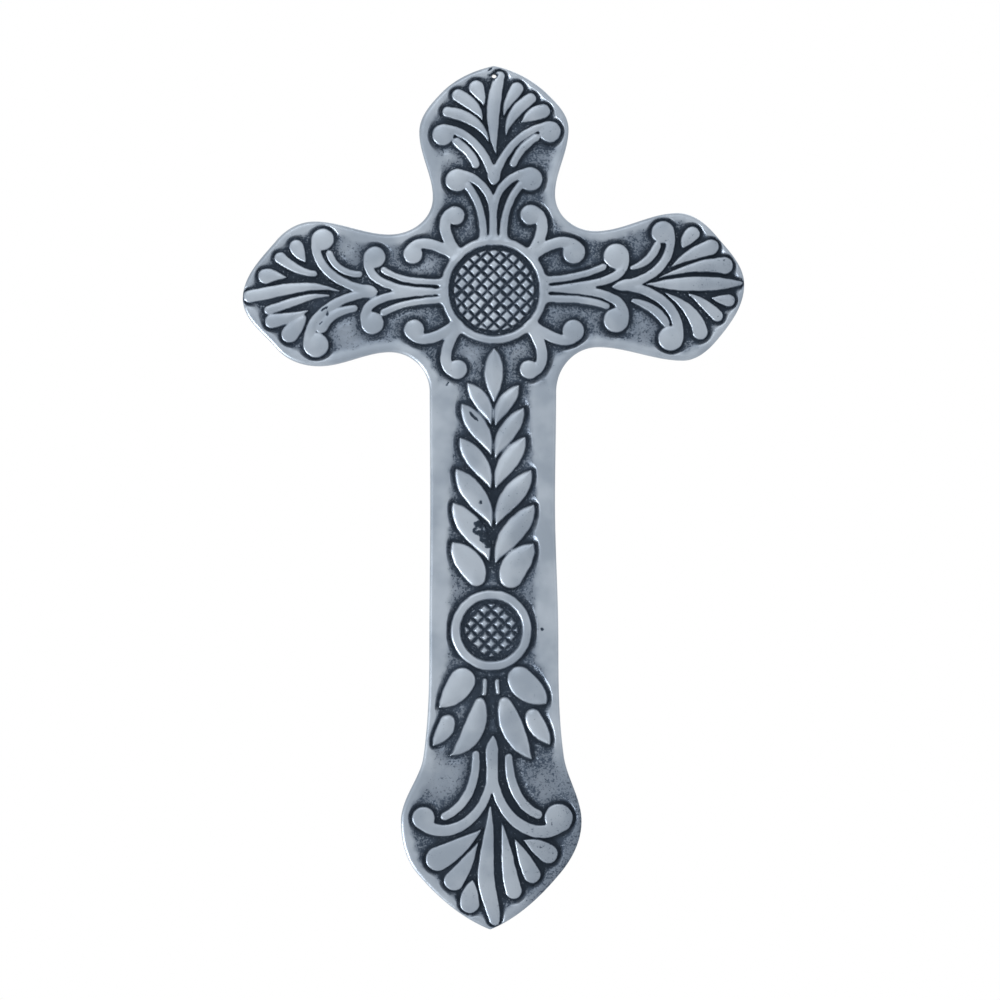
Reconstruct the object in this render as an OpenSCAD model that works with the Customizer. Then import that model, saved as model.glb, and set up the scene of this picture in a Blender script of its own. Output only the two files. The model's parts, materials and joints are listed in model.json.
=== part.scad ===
// Cast metal wall cross: one plate with lobed ends. A pocket is cut into its front so that scrolls,
// palmettes, a leaf spray and two hatched bosses stand up out of it. It hangs from a nail at the top.

/* [Overall size] */
// Width over the tips of the crossbar
bar_width = 177.6; // [150:0.1:215]
// Height from the centre of the hub ring to the top
top_reach = 79.5; // [68:0.1:96]
// Depth from the centre of the hub ring to the lowest point
foot_reach = 226.4; // [188:0.1:272]

/* [Plate] */
// Thickness of the plate at its border
plate_t = 5; // [4:0.1:7]
// Width of the plain border round the lobes
border_w = 2.6; // [2:0.1:3.2]

/* [Carving] */
// Depth of the pocket below the border
pocket_d = 1.6; // [0.8:0.1:2]
// Height of the carved strokes above the border
stroke_h = 0.3; // [0.2:0.1:0.8]
// Narrowest gap that is left between two strokes
gap_w = 0.3; // [0.2:0.05:0.5]

/* [Hub boss] */
// Outer radius of the hub ring
hub_r = 19; // [16:0.1:22.8]
// Width of the hub ring
hub_ring_w = 3; // [2:0.1:4]
// Height of both rings above the border
ring_h = 0.8; // [0.4:0.1:1.4]
// Height of the studs inside them above the pocket's floor
stud_h = 1.2; // [0.8:0.1:1.4]
// Spacing of the hatching in the hub
hub_pitch = 3.25; // [2.6:0.05:4]
// Width of its cuts at the top
hub_cut_w = 1.1; // [0.8:0.05:1.4]

/* [Small boss] */
// Outer radius of the small ring
small_r = 14.4; // [12:0.1:15]
// Width of the small ring
small_ring_w = 3.6; // [2.5:0.1:4.4]
// Spacing of the hatching in the small ring
small_pitch = 3.4; // [2.8:0.05:4.1]
// Width of its cuts at the top
small_cut_w = 1.7; // [1.2:0.05:2]

/* [Nail hole] */
// Diameter of the nail hole
hole_d = 1.8; // [1.5:0.1:2.4]
// Distance from the hole's centre up to the top of the cross
hole_drop = 3.6; // [3:0.1:4.4]
// Width of the metal left at full thickness round it
hole_land = 0.7; // [0.5:0.1:1]

/* [Hidden] */

// The drawing's own reach from the hub centre and its hub radius. Every point below is in the
// drawing, and fit() stretches the drawing to the sizes above.
draw_bar = 88.8;
draw_top = 79.5;
draw_foot = 226.4;
draw_hub = 19;

curve_steps = 6;
outline_steps = 5;
cap_steps = 3;
far = 400;
// How far what stands on the pocket floor runs down into the plate
root = 1;

hole_y = top_reach - hole_drop;
pocket_floor = plate_t - pocket_d;
small_centre = fit([-1, -120.3]);

// Half of the pocket's width down the shaft, by height in the drawing
shaft_top = -31;
shaft_end = -150;
shaft_axis = -0.6;
shaft_pocket = [
    [-165, 23], [-150, 22.3], [-141, 20], [-131, 15.8], [-112, 15],
    [-92, 15.4], [-64, 14.4], [-45, 13], [-28, 12]
];

// Outline, clockwise from the top: [point, heading on arrival, heading on leaving]
outline_knots = [
    [[0, 79.5], 12, -12], [[18.6, 69.8], -44, -44], [[26.4, 57], -90, -90], [[21.6, 34], -90, -90],
    [[36, 21], 0, 0], [[65, 27.4], 0, 0], [[78.6, 19.4], -50, -50], [[88.6, 2], -90, -90],
    [[79, -17.6], -130, -130], [[67, -24.8], 180, 180], [[37, -20], 180, 180],
    [[22, -36], -90, -90], [[21.6, -75], -90, -90], [[22.8, -125], -90, -90],
    [[24.7, -165], -82, -82], [[31, -188], -90, -90], [[23.4, -206.5], -130, -130],
    [[-1.4, -226.4], -158, 158], [[-27.2, -206.5], 130, 130], [[-33, -188], 90, 90],
    [[-25, -165], 82, 82], [[-22.9, -125], 90, 90], [[-22.6, -75], 90, 90], [[-22.8, -36], 90, 90],
    [[-37, -21.8], 180, 180], [[-62, -26.8], 180, 180], [[-77, -20.6], 130, 130],
    [[-89, -3], 90, 90], [[-77, 17.8], 50, 50], [[-63.5, 24.4], 0, 0], [[-37, 19.8], 0, 0],
    [[-21.7, 33], 90, 90], [[-26.5, 56], 90, 90], [[-18.8, 69.8], 46, 46]
];

// Scrolls: [root, heading, bulb centre, bulb radius, where the stroke joins the bulb, spin
// (1 clockwise, -1 the other way), half width at the root, half width at the bulb]
hub_scrolls = [
    [[-13.2, 12.8], 125, [-13.7, 26.4], 3.3, 110, 1, 2, 1.9],
    [[-13.6, 12.4], 150, [-28.7, 12.8], 3.4, 150, -1, 2, 1.8],
    [[13.2, 12.8], 55, [12.9, 26.7], 3.6, 70, -1, 2.1, 2],
    [[13.8, 12.6], 35, [28.3, 13.3], 4, 40, 1, 2, 1.9],
    [[13.6, -12.4], -35, [28, -14.3], 3.9, -40, -1, 1.9, 1.9],
    [[12.8, -13], -50, [12.4, -28], 3.3, -70, 1, 2, 1.9],
    [[-12.8, -13], -125, [-12.9, -28], 3.4, -110, -1, 2, 1.9],
    [[-13.6, -12.4], 215, [-28.3, -13.9], 3.6, 220, 1, 2, 1.9]
];
top_scrolls = [
    [[0.2, 29], 88, [13, 39.3], 4.2, 95, 1, 1.3, 1.7],
    [[-0.8, 29], 92, [-13.2, 38.9], 4, 85, -1, 1.3, 1.7],
    [[0.3, 40], 74, [19.8, 56.1], 3.8, 100, 1, 1.6, 1.3],
    [[-0.3, 40], 106, [-18.1, 55], 3.8, 85, -1, 1.6, 1.4]
];
left_scrolls = [
    [[-22, -0.2], 180, [-42.2, 11.7], 3.8, 165, 1, 1.2, 1.7],
    [[-22, -0.8], 180, [-43, -11.6], 4, 200, -1, 1.2, 1.8],
    [[-44, 0], 172, [-60.6, 18], 3.9, 170, 1, 1.6, 1.6],
    [[-44, -0.8], 188, [-63, -19.4], 4.4, 185, -1, 1.6, 1.9]
];
right_scrolls = [
    [[22, 0.7], 0, [43.2, 12.1], 4.5, 15, -1, 1.2, 2.1],
    [[22, 0.2], 0, [43.2, -10.6], 4.4, -15, 1, 1.2, 2],
    [[44, 2], 5, [59.7, 20.6], 4, 15, -1, 1.6, 1.6],
    [[44, 1.2], -2, [62.5, -17], 4.4, -10, 1, 1.6, 1.9]
];
foot_scrolls = [
    [[-1.4, -172], -92, [-25, -186.8], 4, 230, 1, 1.4, 2.3],
    [[0.1, -172], -88, [22.9, -186.7], 5, -50, -1, 1.4, 2.6]
];

// Strokes: [start, heading, end, heading, half widths at the start, middle and end]
top_strokes = [
    [[-0.3, 18], 90, [-0.3, 31], 90, [1.6, 1.4, 1.6]],
    [[3.4, 18], 94, [9.1, 37], 50, [1.3, 1.15, 1.2]],
    [[-3.8, 18], 88, [-9.4, 37], 130, [1.3, 1.2, 1.2]],
    [[0, 38.4], 90, [0, 44.4], 90, [0.1, 2.4, 0.9]],
    [[6.9, 45], 68, [15, 54], 28, [1.2, 1.25, 1.2]],
    [[-6.6, 44.6], 108, [-13.2, 52.6], 138, [1.2, 1.35, 1.3]],
    [[0.2, 47.8], 96, [2, 75.6], 72, [0.2, 2.4, 1.8]],
    [[3.2, 62], 88, [7.7, 71.2], 55, [0.1, 1.5, 2.2]],
    [[4.9, 57], 88, [12.7, 67.7], 38, [0.9, 1.7, 2]],
    [[10, 59.7], 35, [17.2, 63.2], 20, [0.1, 1.9, 2.6]],
    [[-4.2, 66], 95, [-5.9, 71.4], 115, [0.1, 2, 2.7]],
    [[-4, 60.3], 105, [-11.9, 68], 150, [0.1, 2, 2.2]],
    [[-1.9, 52.2], 110, [-16.2, 62.9], 172, [0.1, 1.7, 2]]
];
left_strokes = [
    [[-18, -0.5], 180, [-34, -0.4], 180, [1.2, 1.2, 1.9]],
    [[-18, 2.8], 178, [-39, 7.2], 145, [1.2, 1.15, 1.2]],
    [[-18, -3.3], 184, [-39, -7.9], 210, [1.3, 1.25, 1.3]],
    [[-42.8, -0.6], 180, [-48.8, -0.3], 180, [0.1, 2.5, 1.2]],
    [[-47.7, 5.7], 180, [-58.3, 12.8], 108, [1.2, 1.3, 1.3]],
    [[-49.5, -6.5], 190, [-60.4, -13.6], 240, [1.4, 1.6, 1.5]],
    [[-55, -0.3], 160, [-86.4, -2.2], 190, [0.2, 1.9, 2.2]],
    [[-73.5, 4.6], 178, [-80.8, 4.9], 200, [0.1, 1.7, 2.7]],
    [[-63.6, 5.8], 175, [-75.6, 11.4], 142, [1.1, 1.6, 2.1]],
    [[-66.8, 10], 130, [-69.9, 15.3], 115, [0.1, 1.8, 2.5]],
    [[-58.5, -2], 175, [-79.9, -7], 195, [0.3, 1.5, 1.5]],
    [[-66, -7.3], 203, [-78.6, -11], 190, [0.2, 1.7, 2.5]],
    [[-67.5, -9.8], 225, [-72.3, -15.6], 230, [1.2, 2.6, 3]]
];
right_strokes = [
    [[18, 0.5], 0, [34, 0.9], 3, [1.2, 1.2, 2]],
    [[18, 3.6], 3, [38.5, 8.2], 25, [1.3, 1.25, 1.3]],
    [[18, -3], 0, [39.8, -5.6], -22, [1.3, 1.35, 1.2]],
    [[42.2, 1.6], 0, [49.4, 2], 0, [0.1, 2.6, 1.2]],
    [[48.7, 7.8], 15, [57.7, 15.8], 68, [1.2, 1.35, 1.4]],
    [[49.9, -3.8], -5, [60.2, -10.8], -62, [1.3, 1.5, 1.5]],
    [[54, 2.1], 0, [86.6, 2.4], 0, [0.1, 2.4, 1.5]],
    [[58.5, 4.4], 22, [82, 8.7], -5, [0.1, 1.5, 2.8]],
    [[62.7, 8.2], 42, [77.2, 15.4], 20, [0.1, 1.8, 2.4]],
    [[66.9, 15.3], 70, [70, 19.9], 40, [0.1, 1.8, 2.2]],
    [[60.5, -0.9], -28, [73, -14.8], -78, [0.1, 1.8, 2.7]],
    [[69, -1.4], -28, [79, -9], -45, [0.2, 1.6, 2.1]],
    [[77, -2.8], -12, [83, -3.6], -8, [0.1, 1.4, 2.2]]
];
foot_strokes = [
    [[-0.7, -158], -90, [-0.7, -176], -90, [0.2, 2.1, 2]],
    [[-6.5, -164.2], -86, [-17.4, -186.2], -155, [1.2, 1.35, 1.2]],
    [[5.2, -165.3], -90, [15.5, -185.6], -25, [1.3, 1.4, 1.3]],
    [[-1.1, -182.6], -98, [-0.5, -222.4], -76, [0.3, 2.8, 2.1]],
    [[-4.6, -190.9], -140, [-19.8, -201.2], -155, [0.1, 2.6, 4.2]],
    [[-5.8, -195.6], -118, [-14.2, -209], -130, [0.1, 2.2, 3.5]],
    [[-8.1, -210.3], -100, [-7.6, -217.6], -80, [0.1, 2.3, 2.9]],
    [[2.7, -188.8], -75, [7, -212.6], -72, [0.1, 2.1, 2.9]],
    [[7.6, -194.3], -58, [13.3, -206.6], -62, [0.1, 2.2, 3.2]],
    [[11.8, -196.5], -8, [18.4, -199.8], -38, [0.1, 2.1, 3.5]]
];
// Buds and stems under the small ring
bud_strokes = [
    [[-3.2, -138], -90, [-3.5, -142.8], -95, [1.1, 1.1, 1.1]],
    [[1.1, -138.2], -90, [1.4, -142.3], -80, [1.1, 1.1, 1]],
    [[-10, -136], -105, [-19.8, -147.2], -128, [3.2, 3.9, 0.1]],
    [[8.2, -136], -65, [18.8, -146.6], -55, [3.1, 3.9, 0.1]],
    [[-15.9, -150.3], -92, [-21.5, -160.5], -122, [2.1, 2.8, 0.1]],
    [[13, -149], -75, [19.4, -160.3], -66, [2.4, 2.9, 0.3]]
];

// Leaves, pointed at both ends: [root, heading, tip, heading, half width, fullness]
spray_leaves = [
    [[-0.1, -39.8], 90, [0, -20.6], 90, 3.3, 0.9],
    [[-1.1, -47.6], 98, [-9.4, -33], 128, 2.5, 0.8],
    [[0.6, -47.9], 84, [8.8, -33.8], 55, 2.5, 0.8],
    [[-1.1, -58], 98, [-11.2, -40.4], 125, 3.3, 0.7],
    [[0.5, -59.6], 84, [10, -41.8], 58, 3.1, 0.7],
    [[-1.2, -70], 98, [-11.8, -52.6], 125, 3.2, 0.7],
    [[0.6, -70], 82, [10.5, -52.2], 58, 3.3, 0.7],
    [[-0.9, -83.6], 98, [-13.2, -63.6], 125, 3.7, 0.7],
    [[0.7, -83], 82, [12.6, -64], 58, 3.8, 0.7],
    [[-1.9, -95.5], 100, [-14.2, -75.6], 122, 3.9, 0.7],
    [[0.6, -96.4], 82, [13.6, -76.2], 58, 4, 0.7]
];
bud_leaves = [
    [[-5.4, -144.2], -78, [-15.3, -164.4], -142, 3.5, 0.8],
    [[4.1, -143.6], -102, [13.9, -166.4], -44, 3.6, 0.8]
];
// The lowest pair of leaves has a broad base against the small ring
base_leaves = [
    [[-6.2, -101.6], 104, [-14.8, -89.2], 122, [3.3, 4.3, 0.1]],
    [[6, -101.4], 82, [13.9, -89.8], 55, [4.1, 4.4, 0.1]]
];

// Stretch along one axis: the hub keeps its own size, and what lies beyond it reaches the edge
function stretch(v, reach, drawn) =
    abs(v) <= draw_hub
        ? v * hub_r / draw_hub
        : sign(v) * (hub_r + (abs(v) - draw_hub) * (reach - hub_r) / (drawn - draw_hub));
function fit(p) = [
    stretch(p[0], bar_width / 2, draw_bar),
    p[1] > 0 ? stretch(p[1], top_reach, draw_top) : stretch(p[1], foot_reach, draw_foot)
];
function heading(a) = [cos(a), sin(a)];
function turn(a, b) = (((b - a) % 360) + 540) % 360 - 180;

// Handle length, as a share of the chord, that makes a circular arc when the curve turns by t
function handle(t) = abs(t) < 1 ? 1 / 3 : 2 / 3 * tan(abs(t) / 4) / sin(abs(t) / 2);

// Cubic curve from p with heading a to q with heading b
function bezier(p, c, d, q, t) =
    p * pow(1 - t, 3) + c * 3 * t * pow(1 - t, 2) + d * 3 * t * t * (1 - t) + q * pow(t, 3);
function curve(p, a, q, b, steps = curve_steps) =
    let (k = handle(turn(a, b)) * norm(q - p), c = p + k * heading(a), d = q - k * heading(b))
    [for (i = [0:steps]) bezier(p, c, d, q, i / steps)];
function direction(line, i) =
    let (v = line[min(i + 1, len(line) - 1)] - line[max(i - 1, 0)]) v / norm(v);
function left_of(v) = [-v[1], v[0]];

// Half width along a stroke, through its three values, and along a leaf
function three_widths(w, t) = w[0] * (1 - t) * (1 - 2 * t) + w[1] * 4 * t * (1 - t) + w[2] * t * (2 * t - 1);
function leaf_width(w, full, t) = w * pow(sin(180 * t), full);

// Outline of a band along line with half width w[i] at each point, with round ends
function cap(p, r, from) = [
    for (i = [1:cap_steps - 1]) p + r * heading(from - 180 * i / cap_steps)
];
function angle_of(v) = atan2(v[1], v[0]);
function band(line, w) =
    let (
        n = len(line) - 1,
        left = [for (i = [0:n]) line[i] + w[i] * left_of(direction(line, i))],
        right = [for (i = [n:-1:0]) line[i] - w[i] * left_of(direction(line, i))],
        end = w[n] > 0.4 ? cap(line[n], w[n], angle_of(direction(line, n)) + 90) : [],
        start = w[0] > 0.4 ? cap(line[0], w[0], angle_of(direction(line, 0)) - 90) : []
    )
    [for (p = concat(left, end, right, start)) fit(p)];

function stroke_outline(s) =
    let (line = curve(s[0], s[1], s[2], s[3]))
    band(line, [for (i = [0:curve_steps]) three_widths(s[4], i / curve_steps)]);
function leaf_outline(s) =
    let (line = curve(s[0], s[1], s[2], s[3]))
    band(line, [for (i = [0:curve_steps]) leaf_width(s[4], s[5], i / curve_steps)]);
function scroll_outline(s) =
    let (
        end = s[2] + (s[3] - s[7]) * heading(s[4]),
        line = curve(s[0], s[1], end, s[4] - 90 * s[5]),
        grow = s[7] - s[6]
    )
    band(line, [for (i = [0:curve_steps]) s[6] + grow * i / curve_steps]);

module scrolls(list) {
    for (s = list) {
        polygon(scroll_outline(s));
        translate(fit(s[2])) circle(r = s[3], $fn = 16);
    }
}

module strokes(list) {
    for (s = list) polygon(stroke_outline(s));
}

// One group of the carving, standing on the pocket floor at z = 0. Gaps too narrow to cast are closed.
module raised() {
    translate([0, 0, -root]) linear_extrude(root + pocket_d + stroke_h)
        offset(delta = -gap_w / 2) offset(delta = gap_w / 2) children();
}

// Everything that stands up out of the pocket, apart from the bosses
module ornament() {
    raised() scrolls(hub_scrolls);
    raised() {
        scrolls(top_scrolls);
        strokes(top_strokes);
    }
    raised() {
        scrolls(left_scrolls);
        strokes(left_strokes);
    }
    raised() {
        scrolls(right_scrolls);
        strokes(right_strokes);
    }
    raised() {
        strokes(base_leaves);
        for (s = spray_leaves) polygon(leaf_outline(s));
    }
    raised() {
        strokes(bud_strokes);
        for (s = bud_leaves) polygon(leaf_outline(s));
    }
    raised() {
        scrolls(foot_scrolls);
        strokes(foot_strokes);
    }
}

// The cross's own outline
module outline() {
    n = len(outline_knots);
    polygon([
        for (i = [0:n - 1])
            let (
                a = outline_knots[i],
                b = outline_knots[(i + 1) % n],
                line = curve(a[0], a[2], b[0], b[1], outline_steps)
            )
                for (k = [0:outline_steps - 1]) fit(line[k])
    ]);
}

// The part of the front that is carved: the three upper lobes, a band down the shaft, and the foot
module carved_field() {
    top = fit([0, shaft_top])[1];
    end = fit([0, shaft_end])[1];
    stations = [for (row = shaft_pocket) row[0]];
    intersection() {
        offset(delta = -border_w) outline();
        union() {
            translate([-far, top]) square(2 * far);
            translate([-far, end - 2 * far]) square(2 * far);
            polygon(concat(
                [for (y = stations) fit([shaft_axis - lookup(y, shaft_pocket), y])],
                [for (i = [len(stations) - 1:-1:0])
                    fit([shaft_axis + lookup(stations[i], shaft_pocket), stations[i]])]
            ));
        }
    }
}

// The pocket, down to its floor at z = 0, with the land round the nail hole left out
module pocket() {
    linear_extrude(pocket_d + 1)
        offset(delta = 0)
            difference() {
                carved_field();
                translate([0, hole_y]) circle(d = hole_d + 2 * hole_land, $fn = 24);
            }
}

// A ring with bevelled shoulders, standing on the pocket floor at z = 0
module ring(r, w) {
    top = pocket_d + ring_h;
    bevel = w / 5;
    rotate_extrude($fn = 96)
        polygon([
            [r - w, -root], [r - w, top - bevel], [r - w + bevel, top],
            [r - bevel, top], [r, top - bevel], [r, -root]
        ]);
}

// Crossed V cuts over a disc of radius r, made down from z = 0
module hatch_cuts(r, pitch, cut_w) {
    count = floor(r / pitch);
    side = cut_w / sqrt(2);
    for (turned = [45, 135])
        rotate(turned)
            for (i = [-count:count])
                translate([i * pitch, 0, 0]) rotate([0, 45, 0]) cube([side, 2 * r + 2, side], center = true);
}

// The hatched disc inside a ring
module hatched_disc(r, pitch, cut_w) {
    difference() {
        translate([0, 0, -root]) cylinder(r = r, h = root + stud_h, $fn = 96);
        translate([0, 0, stud_h]) hatch_cuts(r, pitch, cut_w);
    }
}

// A boss: its ring, and the hatched disc inside it. The disc runs half-way into the ring.
module boss(r, ring_w, pitch, cut_w) {
    ring(r, ring_w);
    hatched_disc(r - ring_w / 2, pitch, cut_w);
}

// The cross lying on its back, drawn about the centre of the hub
module cross_flat() {
    difference() {
        union() {
            difference() {
                linear_extrude(plate_t) outline();
                translate([0, 0, pocket_floor]) pocket();
            }
            translate([0, 0, pocket_floor]) {
                ornament();
                boss(hub_r, hub_ring_w, hub_pitch, hub_cut_w);
                translate(small_centre) boss(small_r, small_ring_w, small_pitch, small_cut_w);
            }
        }
        translate([0, hole_y, -1]) cylinder(d = hole_d, h = far, $fn = 48);
    }
}

// The cross as it hangs: its back is the plane y = 0, and the origin is the nail hole's mouth there
module cross() {
    color("silver") rotate([90, 0, 0]) translate([0, -hole_y, 0]) cross_flat();
}

cross();
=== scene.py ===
"""A cast metal wall cross with a rubbed-back patina.

Its carved front, rounded edge and plain back are one closed mesh. The relief is worked out on a grid over
the front, as a height above the flat back. Each carved stroke is a row of circles along a curve: inside them
it is a rounded ridge, and beside them the field drops into a groove. The drawing is in millimetres about the
centre of the hub, and fit() lays it over the CAD node.
"""
import json
import math

import bmesh
import bpy
import numpy as np
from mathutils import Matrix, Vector


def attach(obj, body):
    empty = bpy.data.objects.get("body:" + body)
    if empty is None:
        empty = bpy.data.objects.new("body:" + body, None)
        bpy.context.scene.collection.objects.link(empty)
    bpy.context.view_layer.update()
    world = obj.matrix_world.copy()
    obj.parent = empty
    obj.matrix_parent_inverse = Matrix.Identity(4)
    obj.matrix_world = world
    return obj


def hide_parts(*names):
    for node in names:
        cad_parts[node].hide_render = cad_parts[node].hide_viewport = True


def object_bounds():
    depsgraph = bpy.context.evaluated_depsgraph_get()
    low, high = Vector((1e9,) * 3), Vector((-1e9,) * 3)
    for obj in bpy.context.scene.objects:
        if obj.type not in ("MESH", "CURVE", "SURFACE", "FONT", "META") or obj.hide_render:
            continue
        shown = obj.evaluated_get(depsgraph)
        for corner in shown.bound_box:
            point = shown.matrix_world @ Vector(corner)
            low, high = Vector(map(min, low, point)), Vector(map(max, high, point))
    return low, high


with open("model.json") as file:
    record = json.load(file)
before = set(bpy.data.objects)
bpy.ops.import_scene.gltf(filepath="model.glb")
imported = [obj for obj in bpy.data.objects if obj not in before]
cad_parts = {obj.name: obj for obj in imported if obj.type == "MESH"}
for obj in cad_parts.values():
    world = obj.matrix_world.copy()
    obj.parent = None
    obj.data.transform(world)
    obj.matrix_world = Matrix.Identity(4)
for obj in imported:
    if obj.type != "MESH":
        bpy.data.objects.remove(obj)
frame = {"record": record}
cad_low, cad_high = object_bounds()

# Lengths are in millimetres as far as the studio, and MM turns them into Blender's metres.
MM = 0.001
SEED = 7
# A distance beyond any on the plate, and one too small to matter
FAR = 1e3
TINY = 1e-6

# Sizes taken from the CAD model
nail = next(m for m in frame["record"]["mounts"] if m["name"] == "nail_hole")
HOLE_R = nail["dims"]["r_mm"]
BORDER_TOP = nail["dims"]["length_mm"]
RING_TOP = -cad_low.y / MM

# The drawing's own extent, and where fit() puts it
DRAWN_LEFT, DRAWN_RIGHT = -89.0, 88.6
DRAWN_FOOT, DRAWN_TOP = -226.4, 79.5
SCALE_X = (cad_high.x - cad_low.x) / MM / (DRAWN_RIGHT - DRAWN_LEFT)
SCALE_Z = (cad_high.z - cad_low.z) / MM / (DRAWN_TOP - DRAWN_FOOT)
HUB = (cad_low.x / MM - DRAWN_LEFT * SCALE_X, cad_high.z / MM - DRAWN_TOP * SCALE_Z)

# Heights above the back; nothing rises past HIGHEST, so the mesh stays inside the CAD model's box.
FIELD_FLOOR = BORDER_TOP - 1.6
STROKE_TOP = BORDER_TOP + 0.25
STUD_TOP = BORDER_TOP - 0.3
STUD_FLOOR = FIELD_FLOOR - 0.2
HIGHEST = RING_TOP - 0.01

# Radius of the carving's rounded shoulders, and the same for its broader leaves and bulbs
SHOULDER = 0.6
BROAD_SHOULDER = 0.7
# How each kind of shape is cut: (height of its middle, how much lower its edges lie, radius of its shoulders)
SCROLL_CUT = (STROKE_TOP, 0.22, SHOULDER)
STROKE_CUT = (STROKE_TOP, 0.3, SHOULDER)
BULB_CUT = (STROKE_TOP + 0.1, 0.35, BROAD_SHOULDER)
BUD_CUT = (STROKE_TOP + 0.2, 0.8, BROAD_SHOULDER)
LEAF_CUT = (STROKE_TOP + 0.2, 0.9, BROAD_SHOULDER)
# Most of a stroke's half width that its shoulder takes up
SHOULDER_SHARE = 0.8
# How far out from the carving the foot of its wall reaches
WALL = 0.3
# The fillet where two strokes meet, and how far each one's height and shoulders run into the other's
FILLET = 0.45
CREST_BLEND = 2.4
# Reach of the fill between neighbouring strokes
NOTCH = 3.2
# Wear has spread the carving a little beyond its drawn width.
SPREAD = 0.12
# Least half width of a stroke or leaf, at its pointed ends
POINT = 0.05
# Above 1, the first puts a leaf's widest place beyond its middle; below 1, the second fills out its ends.
LEAF_LEAN = 1.2
LEAF_FILL = 0.75
# A scroll starts at this share of its width, and is at its full width after this share of its length.
SLIM_START = 0.85
SLIM_LENGTH = 0.14
# A curve is straight if it turns by less than four times this, in radians.
STRAIGHT = 0.005

# Distances between neighbouring points: of the grid, along a stroke and along the outline
PITCH = 0.3
STROKE_STEP = 0.35
OUTLINE_STEP = 0.5
# How far out from a stroke, and in from the plate's rim, anything depends on them
STROKE_REACH = 8.0
RIM_REACH = 7

# Radii of the plate's front and back edges and of the nail hole's front edge
FRONT_ROUND = 1.3
BACK_ROUND = 0.8
HOLE_EDGE = 0.3
# A face whose normal points this nearly straight back belongs to the flat back.
FACES_BACK = 0.995
# The finished mesh has no more triangles than this.
MOST_TRIANGLES = 190000

# Random unevenness, in layers of waves: (strength, width)
EDGE_WAVER = ((0.10, 2.2), (0.05, 0.9))
GROUND_PITS = ((0.06, 0.8), (0.05, 1.6))
RAGGED_STAIN = ((0.9, 4), (0.6, 1.6))
STAIN_CLOUDS = ((1, 11),)
STAIN_WAVER = ((0.22, 1.1),)
CRUMBLING = ((0.6, 1.5), (0.5, 0.8))
CASTING_WAVES = ((0.07, 15), (0.03, 6), (0.01, 1.4))

# ---------------------------------------------------------------- the drawing

# The outline's knots, clockwise: (place, angle it arrives at, angle it leaves at)
OUTLINE_KNOTS = (
    ((0, 79.5), 12, -12), ((18.6, 69.8), -44, -44), ((26.4, 57), -90, -90), ((21.6, 34), -90, -90),
    ((36, 21), 0, 0), ((65, 27.4), 0, 0), ((78.6, 19.4), -50, -50), ((88.6, 2), -90, -90),
    ((79, -17.6), -130, -130), ((67, -24.8), 180, 180), ((37, -20), 180, 180),
    ((22, -36), -90, -90), ((21.6, -75), -90, -90), ((22.8, -125), -90, -90),
    ((24.7, -165), -82, -82), ((31, -188), -90, -90), ((23.4, -206.5), -130, -130),
    ((-1.4, -226.4), -158, 158), ((-27.2, -206.5), 130, 130), ((-33, -188), 90, 90),
    ((-25, -165), 82, 82), ((-22.9, -125), 90, 90), ((-22.6, -75), 90, 90), ((-22.8, -36), 90, 90),
    ((-37, -21.8), 180, 180), ((-62, -26.8), 180, 180), ((-77, -20.6), 130, 130),
    ((-89, -3), 90, 90), ((-77, 17.8), 50, 50), ((-63.5, 24.4), 0, 0), ((-37, 19.8), 0, 0),
    ((-21.7, 33), 90, 90), ((-26.5, 56), 90, 90), ((-18.8, 69.8), 46, 46),
)

# Scrolls: (start, angle there, the bulb's centre, its radius, where on the bulb the stroke ends, as an angle,
# 1 where it runs clockwise round the bulb or -1, half width at the root, half width at the tip)
HUB_SCROLLS = (
    ((-13.2, 12.8), 125, (-13.7, 26.4), 3.3, 110, 1, 2, 1.9),
    ((-13.6, 12.4), 150, (-28.7, 12.8), 3.4, 150, -1, 2, 1.8),
    ((13.2, 12.8), 55, (12.9, 26.7), 3.6, 70, -1, 2.1, 2),
    ((13.8, 12.6), 35, (28.3, 13.3), 4, 40, 1, 2, 1.9),
    ((13.6, -12.4), -35, (28, -14.3), 3.9, -40, -1, 1.9, 1.9),
    ((12.8, -13), -50, (12.4, -28), 3.3, -70, 1, 2, 1.9),
    ((-12.8, -13), -125, (-12.9, -28), 3.4, -110, -1, 2, 1.9),
    ((-13.6, -12.4), 215, (-28.3, -13.9), 3.6, 220, 1, 2, 1.9),
)

TOP_SCROLLS = (
    ((0.2, 29), 88, (13, 39.3), 4.2, 95, 1, 1.3, 1.7),
    ((-0.8, 29), 92, (-13.2, 38.9), 4, 85, -1, 1.3, 1.7),
    ((0.3, 40), 74, (19.8, 56.1), 3.8, 100, 1, 1.6, 1.3),
    ((-0.3, 40), 106, (-18.1, 55), 3.8, 85, -1, 1.6, 1.4),
)

LEFT_SCROLLS = (
    ((-22, -0.2), 180, (-42.2, 11.7), 3.8, 165, 1, 1.2, 1.7),
    ((-22, -0.8), 180, (-43, -11.6), 4, 200, -1, 1.2, 1.8),
    ((-44, 0), 172, (-60.6, 18), 3.9, 170, 1, 1.6, 1.6),
    ((-44, -0.8), 188, (-63, -19.4), 4.4, 185, -1, 1.6, 1.9),
)

RIGHT_SCROLLS = (
    ((22, 0.7), 7, (43.2, 12.1), 4.5, 15, -1, 1.2, 1.8),
    ((22, 0.2), 0, (43.2, -10.6), 4.4, -15, 1, 1.2, 2),
    ((46, 2.2), 5, (59.7, 20.6), 4, 15, -1, 1.6, 1.6),
    ((46, 1.3), -2, (62.5, -17), 4.4, -10, 1, 1.6, 1.9),
)

FOOT_SCROLLS = (
    ((-1.4, -172), -92, (-25, -186.8), 4, 230, 1, 1.4, 2.3),
    ((0.1, -172), -88, (22.9, -186.7), 5, -50, -1, 1.4, 2.6),
)

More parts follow.
